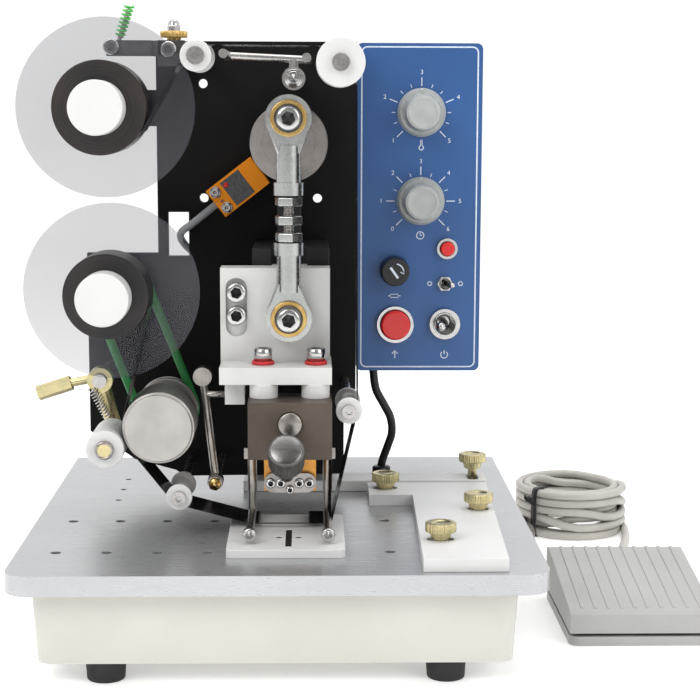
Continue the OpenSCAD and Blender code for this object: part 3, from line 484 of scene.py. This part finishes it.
def cable_tie(degrees, middle=15.2, half_height=15, half_depth=5.6, half_width=1.9, thick=0.7, count=40):
    """A band round the winding and its two twisted ends, degrees round the coil. middle is its height."""
    bm = bmesh.new()
    angle = math.radians(degrees)
    out = Vector((math.cos(angle), math.sin(angle), 0))
    along = Vector((-math.sin(angle), math.cos(angle), 0))
    hub = Vector((*COIL_AT, 0)) + out * ((INNER + OUTER) / 2)
    loop = []
    for k in range(count):
        a = 2 * math.pi * k / count
        c, s = math.cos(a), math.sin(a)
        rise = middle + half_height * math.copysign(abs(s) ** 0.3, s)
        loop.append(hub + out * half_depth * math.copysign(abs(c) ** 0.4, c) + Vector((0, 0, rise)))
    rows = []
    for shift, grow in ((-half_width, 0), (-half_width, thick), (half_width, thick), (half_width, 0)):
        row = []
        for p in loop:
            away = (p - hub - Vector((0, 0, middle))).normalized()
            row.append(bm.verts.new((p + along * shift + away * grow) * MM))
        rows.append(row)
    for j, row in enumerate(rows):
        following = rows[(j + 1) % len(rows)]
        for k in range(count):
            n = (k + 1) % count
            bm.faces.new((row[k], row[n], following[n], following[k]))
    for phase in (0, 3):
        twist = []
        for k in range(13):
            t = k / 12
            sway = 1.4 * math.sin(9 * t + phase)
            rise = 22 + 4 * t + 1.4 * math.cos(9 * t + phase)
            twist.append(hub + out * (6 + 7 * t) + along * sway + Vector((0, 0, rise)))
        for a, b in zip(twist, twist[1:]):
            lathe(bm, [(0.9, 0), (0.9, (b - a).length)], tuple(a), b - a, sides=8)
    for vert in bm.verts:
        vert.co.z = max(vert.co.z, 0.0001)
    return piece("cord_tie", bm, "stand", BLACK_CABLE)


def strain_relief(length=21, root=4.4, taper=1.7, taper_run=20, rib=0.45, pitch=1.6, sides=20):
    """A ribbed boot round the cord where it leaves the foot switch, narrower by taper over taper_run."""
    bm = bmesh.new()
    start = smooth_path(ROUTE, 4)[:10]
    steps = 3
    reach = 0.0
    profile = []
    for a, b in zip(start, start[1:]):
        for k in range(steps):
            radius = root - taper * reach / taper_run + (rib if int(reach / pitch) % 2 else 0)
            profile.append((a.lerp(b, k / steps), radius))
            reach += (b - a).length / steps
        if reach > length:
            break
    previous = None
    for i, (p, r) in enumerate(profile):
        after = profile[min(i + 1, len(profile) - 1)][0]
        before = profile[max(i - 1, 0)][0]
        d = (after - before).normalized()
        u = d.cross(Vector(UP)).normalized()
        w = u.cross(d)
        ring = []
        for k in range(sides):
            a = 2 * math.pi * k / sides
            at = p + r * (math.cos(a) * u + math.sin(a) * w)
            at.z = max(at.z, 0.05)
            ring.append(bm.verts.new(at * MM))
        if previous:
            for k in range(sides):
                n = (k + 1) % sides
                bm.faces.new((previous[k], previous[n], ring[n], ring[k]))
        else:
            bm.faces.new(ring)
        previous = ring
    bm.faces.new(previous)
    return piece("pedal_strain_relief", bm, "stand", PEDAL)


tie = cable_tie(222)
relief = strain_relief()

HARNESS = [
    (50, 64, 119.7), (51.5, 64, 108), (56, 65, 99), (60, 66, 91), (61, 68, 82), (59, 71, 74), (56.5, 74, 66),
    (55.5, 75.5, 61.5), (55.5, 75.5, 57.8),
]
harness_line = smooth_path(HARNESS, 4)
harness = wire("panel_cable", harness_line, 4.6, "stand", BLACK_CABLE)


def gland_grip(angle, radius, height):
    """Soft ribs round the gland's nut."""
    return 0.25 * math.cos(18 * angle) if 2 < height < 6 and radius > 4.5 else 0


bm = bmesh.new()
lathe(bm, [(5.6, 0), (5.6, 1.6), (4.9, 2.2), (4.9, 5.4), (4.3, 6.2), (2.2, 6.4)],
      (*HARNESS[-1][:2], BED_TOP), UP, 36, wobble=gland_grip)
gland = piece("cable_gland", bm, "stand", BLACK_PLASTIC)
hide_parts("harness")

# ---------------------------------------------------------------- sensor

SENSOR_AT = (-23.3, 25, 222.6)
SENSOR_TILT = -37.6
SENSOR_TURN = (SENSOR_AT, SENSOR_TILT)
SENSOR_FRONT = 20
bm = bmesh.new()
slab(bm, (-38.05, SENSOR_FRONT, 214.075), (-8.55, 30, 231.125), 0, SENSOR_TURN)
slab(bm, (-29.6, 19.8, 215.2), (-17.6, 20.2, 229.9), 1, SENSOR_TURN)
for z in (221.4, 224.2):
    slab(bm, (-35.2, 19.75, z), (-33.2, 20.2, z + 0.9), 1, SENSOR_TURN)
sensor = piece("sensor_case", bm, "stand", [ORANGE, LABEL], smooth=False)
soften(sensor, 0.35)
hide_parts("sensor")


def on_sensor(x, z):
    """The point on the tilted sensor's front, x mm along it and z mm across it from its middle."""
    v = Matrix.Rotation(math.radians(SENSOR_TILT), 3, "Y") @ Vector((x, 0, z))
    return (SENSOR_AT[0] + v.x, SENSOR_FRONT, SENSOR_AT[2] + v.z)


bm = bmesh.new()
for z in (-5, 5):
    lathe(bm, [(3.0, 0), (3.0, 0.6), (2.7, 0.9)], on_sensor(-11, z), FRONT, 32)
    lathe(bm, [(2.2, 0.9), (2.2, 1.9), (1.7, 2.3), (0.9, 2.35), (0.8, 1.6)], on_sensor(-11, z), FRONT, 24)
for x, z in ((-30, 217.4), (-16, 228.2)):
    lathe(bm, [(2.5, 0), (2.5, 2.5)], (x, 32, z), FRONT, 24)
piece("sensor_screws", bm, "stand", STEEL)
bm = bmesh.new()
lathe(bm, [(1.4, 0), (1.4, 0.3), (1.1, 0.6), (0.3, 0.8)], on_sensor(-4.2, 4.6), FRONT, 20)
piece("sensor_lamp", bm, "stand", RED)
SENSOR_LEAD = [
    (-33.5, 25, 214.5), (-39, 25, 210), (-47, 27, 203.5), (-54, 33.5, 198), (-54.5, 41, 193),
    (-49.5, 43.5, 187), (-41, 43.5, 182),
]
lead_line = smooth_path(SENSOR_LEAD, 5)
lead = wire("sensor_lead", lead_line, 4, "stand", GREY_CABLE)

# ---------------------------------------------------------------- springs


def helix(a, b, r, turns, per_turn=14):
    """Points on a coil of radius r round the line from a to b, in mm."""
    a, b = Vector(a), Vector(b)
    axis = (b - a).normalized()
    side = axis.orthogonal().normalized()
    other = axis.cross(side)
    count = int(turns * per_turn)
    points = []
    for k in range(count + 1):
        angle = 2 * math.pi * k / per_turn
        points.append(a.lerp(b, k / count) + r * (math.cos(angle) * side + math.sin(angle) * other))
    return points


coil = helix((-83.2, 14, 299.8), (-77.6, 12, 315.6), 2.3, 8)
brake_coil = wire("brake_coil", coil, 1.0, "stand", GREEN_WIRE)
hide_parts("brake_spring")
wire("brake_pin", [(-84.2, 14, 296), (-78.4, 12, 313.4)], 2.2, "stand", STEEL)
SPRING_TOP, SPRING_FOOT = (-96.5, -20, 122.5), (-88.5, -20, 107)
spring_line = wire("lever_spring_line", helix(SPRING_TOP, SPRING_FOOT, 1.9, 11), 0.7, "stand", STEEL)
mesh = bpy.data.meshes.new_from_object(spring_line)
bpy.data.objects.remove(spring_line)
spring = bpy.data.objects.new("lever_spring", mesh)
scene.collection.objects.link(spring)
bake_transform(spring)

# ---------------------------------------------------------------- knurled thumb screws

# middle of each screw and the height of the face that it clamps
THUMB_SCREWS = ((76.8, -87.5, 61.2), (100.8, -27.5, 61.2), (55.3, 20, 61.2), (104.9, 47.5, 66))
THREAD_IN_BED = 7
THUMB_HEAD = [(2.4, 0), (4.4, 0), (4.6, 0.4), (5.2, 3.1), (5.4, 3.5), (6.9, 3.5), (7.2, 3.9), (7.2, 7.7),
              (6.8, 8.1), (4.6, 8.1), (4.3, 7.7), (0.6, 7.6)]
for x, y, z in THUMB_SCREWS:
    bm = bmesh.new()
    tip = BED_TOP - THREAD_IN_BED - z
    lathe(bm, [(2.4, tip)] + THUMB_HEAD, (x, y, z), UP, 144, wobble=knurl(36, 0.22, 7.1))
    thumb_screw = piece(f"thumb_screw_{int(x)}", bm, "stand", ZINC_YELLOW)
    even_shading(thumb_screw)
    if (x, y, z) == THUMB_SCREWS[0]:
        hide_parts("thumb_screws")

# ---------------------------------------------------------------- clamp knob

KNOB_AT = (3.4, -98, 107)  # middle of its outer face
KNOB_TILT = math.radians(38)
toward = (0, math.cos(KNOB_TILT), -math.sin(KNOB_TILT))
bm = bmesh.new()
lathe(bm, [(7.6, 0.9), (8.2, 1.2), (8.5, 1.9), (8.5, 2.4), (8.45, 2.5), (8.45, 13.2), (8.5, 13.4),
           (8.5, 14.4), (8.1, 15), (3.2, 15), (3.2, 29.5)],
      KNOB_AT, toward, 192, wobble=knurl(48, 0.16, 8.3, 2, 13.5), material=1)
lathe(bm, [(0.4, 0.0), (2.5, 0.06), (5, 0.25), (7, 0.6), (7.8, 0.95), (7.8, 1.3)], KNOB_AT, toward, 96)
clamp = piece("clamp_knob_turned", bm, "clamp_knob", [KNOB_FACE, DARK_STEEL])
even_shading(clamp)
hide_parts("clamp_knob")

# ---------------------------------------------------------------- linkage and press head

ROD_Y = -45
RACE_FRONT = ROD_Y - 7
LOWER_PIVOT, UPPER_PIVOT = 161.7, 259.1  # heights of the two rod ends
FLANGE_SCREWS = ((-8.5, -50), (17.5, -50))

# red fibre washers under the two cap screws of the flange
WASHER = [(3, 139.55), (5.3, 139.55), (5.5, 139.8), (5.5, 141.0), (5.3, 141.3), (3, 141.3)]
bm = bmesh.new()
for x, y in FLANGE_SCREWS:
    lathe(bm, WASHER, (x, y, 0), UP, 48)
piece("fibre_washers", bm, "head", FIBRE)

# thread of the link between the rod ends
THREAD_PITCH = 0.75
LINK_LENGTH = 30.6
bm = bmesh.new()
link = [(2.4, 0)]
for k in range(52):
    low = k * THREAD_PITCH
    link += [(2.42, 0.1 + low), (2.95, 0.4 + low), (2.42, 0.7 + low)]
lathe(bm, [point for point in link if point[1] < LINK_LENGTH], (HEAD_X, ROD_Y, 194.9), UP, 28)
piece("link_thread", bm, "conrod", STEEL, smooth=False)

# nuts on the link, dark rings that stand for the balls inside the races and paint the shade in the gaps round
# the bolt heads, and the two pivot screws
NUT = [(3.0, 0), (6.2, 0), (6.95, 0.5), (6.95, 4.2), (6.2, 4.7), (3.0, 4.7)]
bm = bmesh.new()
for z in (199.2, 207.4, 216.6):
    lathe(bm, NUT, (HEAD_X, ROD_Y, z - 0.05), UP, 6)
soften(piece("link_nuts", bm, "conrod", ZINC, smooth=False), 0.25)
bm = bmesh.new()
for z in (LOWER_PIVOT, UPPER_PIVOT):
    lathe(bm, [(6.7, 0), (6.9, 0.35), (5.0, 0.35)], (HEAD_X, RACE_FRONT, z), FRONT, 48)
piece("race_balls_and_gap_shade", bm, "conrod", DARK_STEEL)
bm = bmesh.new()
# the black in the hexagonal recesses of both pivot screws is painted shade
screw(bm, (HEAD_X, RACE_FRONT, LOWER_PIVOT), FRONT, 5.7, 5.15, recess_shade=1)
piece("lower_pivot_screw", bm, "conrod", [CHROME, BLACK_PLASTIC])
bm = bmesh.new()
screw(bm, (HEAD_X, -51.4, UPPER_PIVOT), FRONT, 5.7, 6.35, recess_shade=1)
piece("upper_pivot_screw", bm, "crank", [CHROME, BLACK_PLASTIC])

# screws of the slider: two in its slot, two on its flange
bm = bmesh.new()
# the black in the recesses of these screw heads is painted shade
for z in (162.1, 173.6):
    screw(bm, (-21.8, -36, z), FRONT, 4.75, 5.7, recess_shade=1)
for x, y in FLANGE_SCREWS:
    screw(bm, (x, y, 141.2), UP, 4.55, 6.3, recess_shade=1)
piece("slider_screw_heads", bm, "head", [CHROME, BLACK_PLASTIC])

# ---------------------------------------------------------------- smaller parts

# clip that holds the sensor lead's end on the back of the face plate
bm = bmesh.new()
slab(bm, (-44.5, 37.1, 177), (-37.5, 47, 187))
slab(bm, (-43, 37.1, 187), (-39, 40.5, 190))
soften(piece("lead_clip", bm, "stand", BLACK_PLASTIC, smooth=False), 0.8)

# end screws of the two ribbon rods, the tension lever's screw and the brass screw of the feed lever
bm = bmesh.new()
for x in (-14.3, 23.2):
    screw(bm, (x, -88.2, 63.4), FRONT, 3.2, 1.4)
piece("rod_end_screws", bm, "stand", CHROME)
bm = bmesh.new()
lathe(bm, [(4.6, 0), (4.6, 0.9), (4.2, 1.1)], (6.5, -21, 278.4), FRONT, 32)
screw(bm, (6.5, -22, 278.4), FRONT, 3.6, 3.4)
piece("tension_screw", bm, "tension_lever", CHROME)
bm = bmesh.new()
lathe(bm, [(3.3, 0), (3.3, 1.8), (2.9, 2.2), (1.6, 2.2), (1.5, 3.2), (0.2, 3.4)],
      (-33.2, -38.4, 76.8), FRONT, 6)
piece("feed_lever_nut", bm, "stand", BRASS)

# screws of the clamp plate, the heating rod's end, the slider's finger and the pinch roller's stud
CLAMP_FRONT = -71
bm = bmesh.new()
# the black in the recesses of these screws is painted shade
for x in (-4.4, 0.4, 9.4, 14.2):
    screw(bm, (x, CLAMP_FRONT, 84.6), FRONT, 2.35, 1.8, recess_shade=1)
screw(bm, (4.9, CLAMP_FRONT, 81.5), FRONT, 2.0, 2.4, recess_shade=1)
piece("clamp_screws", bm, "type_carrier", [CHROME, BLACK_PLASTIC])
bm = bmesh.new()
lathe(bm, [(5.75, 0), (5.75, 0.3), (5.3, 0.7), (0.3, 0.75)], (5, -74, 113.8), FRONT, 48)
piece("heating_rod_end", bm, "head", SATIN)
bm = bmesh.new()
lathe(bm, [(1.6, 0), (1.6, 9), (1.35, 9.25)], (-27.2, -47, 124), (-1, 0, 0), 24)
piece("feed_finger", bm, "head", SATIN)
bm = bmesh.new()
lathe(bm, [(4.5, 0), (4.5, 2.6), (4.1, 2.9), (3.3, 2.9), (3.2, 2.3), (0.3, 2.3)],
      (-85.3, -62.0, 99.2), FRONT, 40)
piece("pinch_stud", bm, "pinch_lever", SATIN)

# dark insert and marks in the stamping pad
bm = bmesh.new()
slab(bm, (2.95, -91.7, 57.3), (5.65, -60.3, 58.55))
for x in (-0.4, 9):
    lathe(bm, [(1.6, 57.3), (1.6, 58.4), (1.3, 58.6)], (x, -75, 0), UP, 24)
soften(piece("pad_insert", bm, "stand", DARK_STEEL, smooth=False), 0.15)

# brake strap with its screws, knurled nut and cap nut
BRAKE_NUT_AT = (-56, 22, 0)
bm = bmesh.new()
for low, high in (((-90, 12, 290), (-66.8, 15, 298)), ((-90, 15, 290), (-60, 18, 298)),
                  ((-64, 15, 285), (-50, 29, 298.2)), ((-64, 29, 285), (-50, 32, 297))):
    slab(bm, low, high)
# the recesses of these two chrome screws take the strap's dark steel, as painted shade
screw(bm, (-87.2, 12, 294.5), FRONT, 4.1, 4, 1)
screw(bm, (-58.1, 15, 293.5), FRONT, 4.1, 4, 1)
lathe(bm, [(3.6, 298.2), (3.6, 299.8), (6.6, 299.8), (7.0, 300.1), (7.0, 302.7), (6.6, 303), (3, 303)],
      BRAKE_NUT_AT, UP, 144, wobble=knurl(36, 0.2, 6.8, sunk=0.2), material=2)
lathe(bm, [(3.6, 303), (3.6, 305.6), (3.3, 306)], BRAKE_NUT_AT, UP, 6, material=1)
lathe(bm, [(3.1, 305.8), (2.9, 307.2), (2.0, 308.6), (0.3, 309.2)], BRAKE_NUT_AT, UP, 32, material=1)
brake = piece("brake_strap", bm, "stand", [DARK_STEEL, CHROME, BRASS], smooth=False)
soften(brake, 0.3)
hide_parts("brake_parts")

# ---------------------------------------------------------------- panel print

PANEL_FACE = 53.5
FUSE_FACE = PANEL_FACE - 10
UPPER, LOWER = (75.2, 261.6), (75.1, 213.6)  # middles of the two dials, as (x, z)


def printer(bm, front, back):
    """Returns a function that draws on bm, in flat lines that reach from front to back along Y, in mm."""
    def stroke(points, width, closed=False):
        """A line width mm wide through (x, z) points in mm."""
        pts = [Vector(point) for point in points]
        n = len(pts)
        edges = []
        for i, p in enumerate(pts):
            before = pts[(i - 1) % n] if closed or i else p
            after = pts[(i + 1) % n] if closed or i < n - 1 else p
            d = (after - before).normalized()
            side = Vector((-d.y, d.x)) * width / 2
            edges.append([bm.verts.new(mm(q.x, y, q.y)) for q in (p + side, p - side) for y in (front, back)])
        for i in range(n if closed else n - 1):
            a, b = edges[i], edges[(i + 1) % n]
            bm.faces.new((a[0], b[0], b[2], a[2]))
            bm.faces.new((a[1], b[1], b[0], a[0]))
            bm.faces.new((a[2], b[2], b[3], a[3]))
    return stroke


def around(centre, degrees, radius):
    """The (x, z) point radius mm from centre, degrees clockwise from the top."""
    angle = math.radians(degrees)
    return (centre[0] + radius * math.sin(angle), centre[1] + radius * math.cos(angle))


def arc(cx, cz, r, start, end, steps):
    """Points on an arc about (cx, cz), from start to end in degrees clockwise from the top."""
    return [around((cx, cz), start + (end - start) * k / steps, r) for k in range(steps + 1)]


def digit(bm, text, centre, size):
    """A raised dial number on the panel with its middle at centre = (x, z). size is the font's, in mm."""
    data = bpy.data.curves.new("digit", "FONT")
    data.body = text
    data.size = size * MM
    data.align_x = "CENTER"
    data.align_y = "CENTER"
    data.extrude = 0.00008
    o = bpy.data.objects.new("digit", data)
    scene.collection.objects.link(o)
    bpy.context.view_layer.update()
    mesh = bpy.data.meshes.new_from_object(o.evaluated_get(bpy.context.evaluated_depsgraph_get()))
    place = Matrix.Translation(mm(centre[0], PANEL_FACE - 0.01, centre[1]))
    mesh.transform(place @ Matrix.Rotation(math.pi / 2, 4, "X"))
    bm.from_mesh(mesh)
    bpy.data.objects.remove(o)
    bpy.data.meshes.remove(mesh)
    bpy.data.curves.remove(data)


panel_bm = bmesh.new()
stroke = printer(panel_bm, PANEL_FACE - 0.06, PANEL_FACE + 0.2)

# border with round corners
LEFT, BOTTOM, RIGHT, TOP = 42.7, 121.9, 105.7, 296.6
CORNER = 3
border = []
for x, z, start in ((RIGHT - CORNER, TOP - CORNER, 0), (RIGHT - CORNER, BOTTOM + CORNER, 90),
                    (LEFT + CORNER, BOTTOM + CORNER, 180), (LEFT + CORNER, TOP - CORNER, 270)):
    border += arc(x, z, CORNER, start, start + 90, 8)
stroke(border, 0.75, closed=True)

# each dial: its middle, first number, and the angles of its numbered and its small marks
DIALS = (
    (UPPER, 1, (-135, -67.5, 0, 67.5, 135), (-112, -90, -45, -22, 22, 45, 90, 112)),
    (LOWER, 0, (-135, -90, -45, 0, 45, 90, 135), (-112, -67, -22, 22, 67, 112)),
)
MARK_START, MARK_END, SMALL_MARK_END, NUMBER_AT = 14.2, 18.8, 16.2, 21.6  # radii
for centre, first, majors, minors in DIALS:
    for number, angle in enumerate(majors, first):
        stroke([around(centre, angle, MARK_START), around(centre, angle, MARK_END)], 0.5)
        digit(panel_bm, str(number), around(centre, angle, NUMBER_AT), 3.4)
    for angle in minors:
        stroke([around(centre, angle, MARK_START), around(centre, angle, SMALL_MARK_END)], 0.35)

# thermometer under the upper dial
stroke(arc(75.2, 242.6, 1.2, 20, 340, 16), 0.5)
stroke([(74.8, 243.7), (74.8, 246.8), (75.6, 246.8), (75.6, 243.7)], 0.4)
# clock under the lower dial
stroke(arc(75.1, 194.8, 2.0, 0, 360, 24), 0.45)
stroke([(75.1, 196.2), (75.1, 194.8), (76.2, 194.8)], 0.4)
# fuse, under its cap
stroke([(57.6, 161.4), (59, 161.4)], 0.45)
stroke([(59, 160.5), (63.2, 160.5), (63.2, 162.3), (59, 162.3)], 0.4, closed=True)
stroke([(63.2, 161.4), (64.6, 161.4)], 0.45)
# arrow under the large button
stroke([(61.6, 126.6), (61.6, 130.6)], 0.6)
stroke([(60, 129.1), (61.6, 130.9), (63.2, 129.1)], 0.6)
# mains sign under the power toggle
stroke(arc(89, 128.6, 1.9, 35, 325, 20), 0.5)
stroke([(89, 128.8), (89, 131)], 0.5)
# rings at both sides of the mode toggle
for x in (80.6, 97.6):
    stroke(arc(x, 168.2, 1.1, 0, 360, 16), 0.45)
piece("panel_print", panel_bm, "stand", PRINT, smooth=False)

# slot and arrow on the fuse cap
fuse_bm = bmesh.new()
stroke = printer(fuse_bm, FUSE_FACE - 0.06, FUSE_FACE + 0.1)
stroke(arc(61.1, 175.4, 4.6, 10, 100, 12), 0.7)
stroke([(65.9, 176.6), (65.6, 174.5), (63.9, 175.6)], 0.6)
stroke([(58.4, 178), (62.6, 172.2)], 1.3)
piece("fuse_mark", fuse_bm, "fuse_cap", PRINT, smooth=False)

# caps and pointers of the two dial knobs
CAP = [(8.6, 36.6), (8.3, 36.35), (7.7, 36.25), (7.4, 36.45), (4, 36.5), (0.4, 36.52)]
for which, body, (cx, cz) in (("upper", "temperature_knob", UPPER), ("lower", "time_knob", LOWER)):
    bm = bmesh.new()
    lathe(bm, CAP, (cx, 0, cz), (0, 1, 0), 64)
    piece(f"dial_cap_{which}", bm, body, KNOB)
    bm = bmesh.new()
    slab(bm, (cx - 0.45, 49.2, cz + 11.9), (cx + 0.45, 52.9, cz + 13.05))
    piece(f"dial_pointer_{which}", bm, body, NYLON, smooth=False)

# ---------------------------------------------------------------- floor and light

bpy.ops.mesh.primitive_plane_add(size=14, location=(0, 2, 0))
floor = bpy.context.object
floor.name = "floor"
floor_finish = surface("pale_floor", (0.86, 0.86, 0.86), (0.85, 0.85, 0.85), rough=0.6, blotch=2, grain=60,
                       bump=0.0)
floor.data.materials.append(floor_finish)
floor_shader = floor_finish.node_tree.nodes["Principled BSDF"]
floor_shader.inputs["Emission Color"].default_value = (1, 1, 1, 1)
floor_shader.inputs["Emission Strength"].default_value = 0.3

# the surroundings are white beyond the machine and grey on the camera's side
world = bpy.data.worlds.new("studio")
world.use_nodes = True
scene.world = world
wn, wl = world.node_tree.nodes, world.node_tree.links.new
split = wn.new("ShaderNodeSeparateXYZ")
wl(wn.new("ShaderNodeTexCoord").outputs["Generated"], split.inputs[0])
fade = wn.new("ShaderNodeMapRange")
fade.inputs["From Min"].default_value = -0.8
fade.inputs["From Max"].default_value = 0.1
fade.inputs["To Min"].default_value = 0.38
fade.inputs["To Max"].default_value = 1.05
wl(split.outputs["Y"], fade.inputs["Value"])
wl(fade.outputs[0], wn["Background"].inputs["Strength"])
wn["Background"].inputs["Color"].default_value = (1, 1, 1, 1)


def softbox(name, at, target, size, power):
    """A rectangular lamp at a place in metres, turned toward target. power is in watts."""
    data = bpy.data.lights.new(name, "AREA")
    data.shape = "RECTANGLE"
    data.size, data.size_y = size
    data.energy = power
    o = bpy.data.objects.new(name, data)
    o.location = at
    o.rotation_euler = (Vector(target) - Vector(at)).to_track_quat("-Z", "Y").to_euler()
    scene.collection.objects.link(o)


softbox("key", (-0.75, -1.0, 1.05), (0, 0, 0.12), (0.8, 0.8), 10)
softbox("fill", (0.95, -0.9, 0.75), (0, 0, 0.12), (0.7, 0.9), 6)
softbox("top", (0.0, 0.1, 1.3), (0, 0, 0.1), (1.2, 1.0), 8)
scene.view_settings.view_transform = "Standard"
scene.view_settings.exposure = 0.0
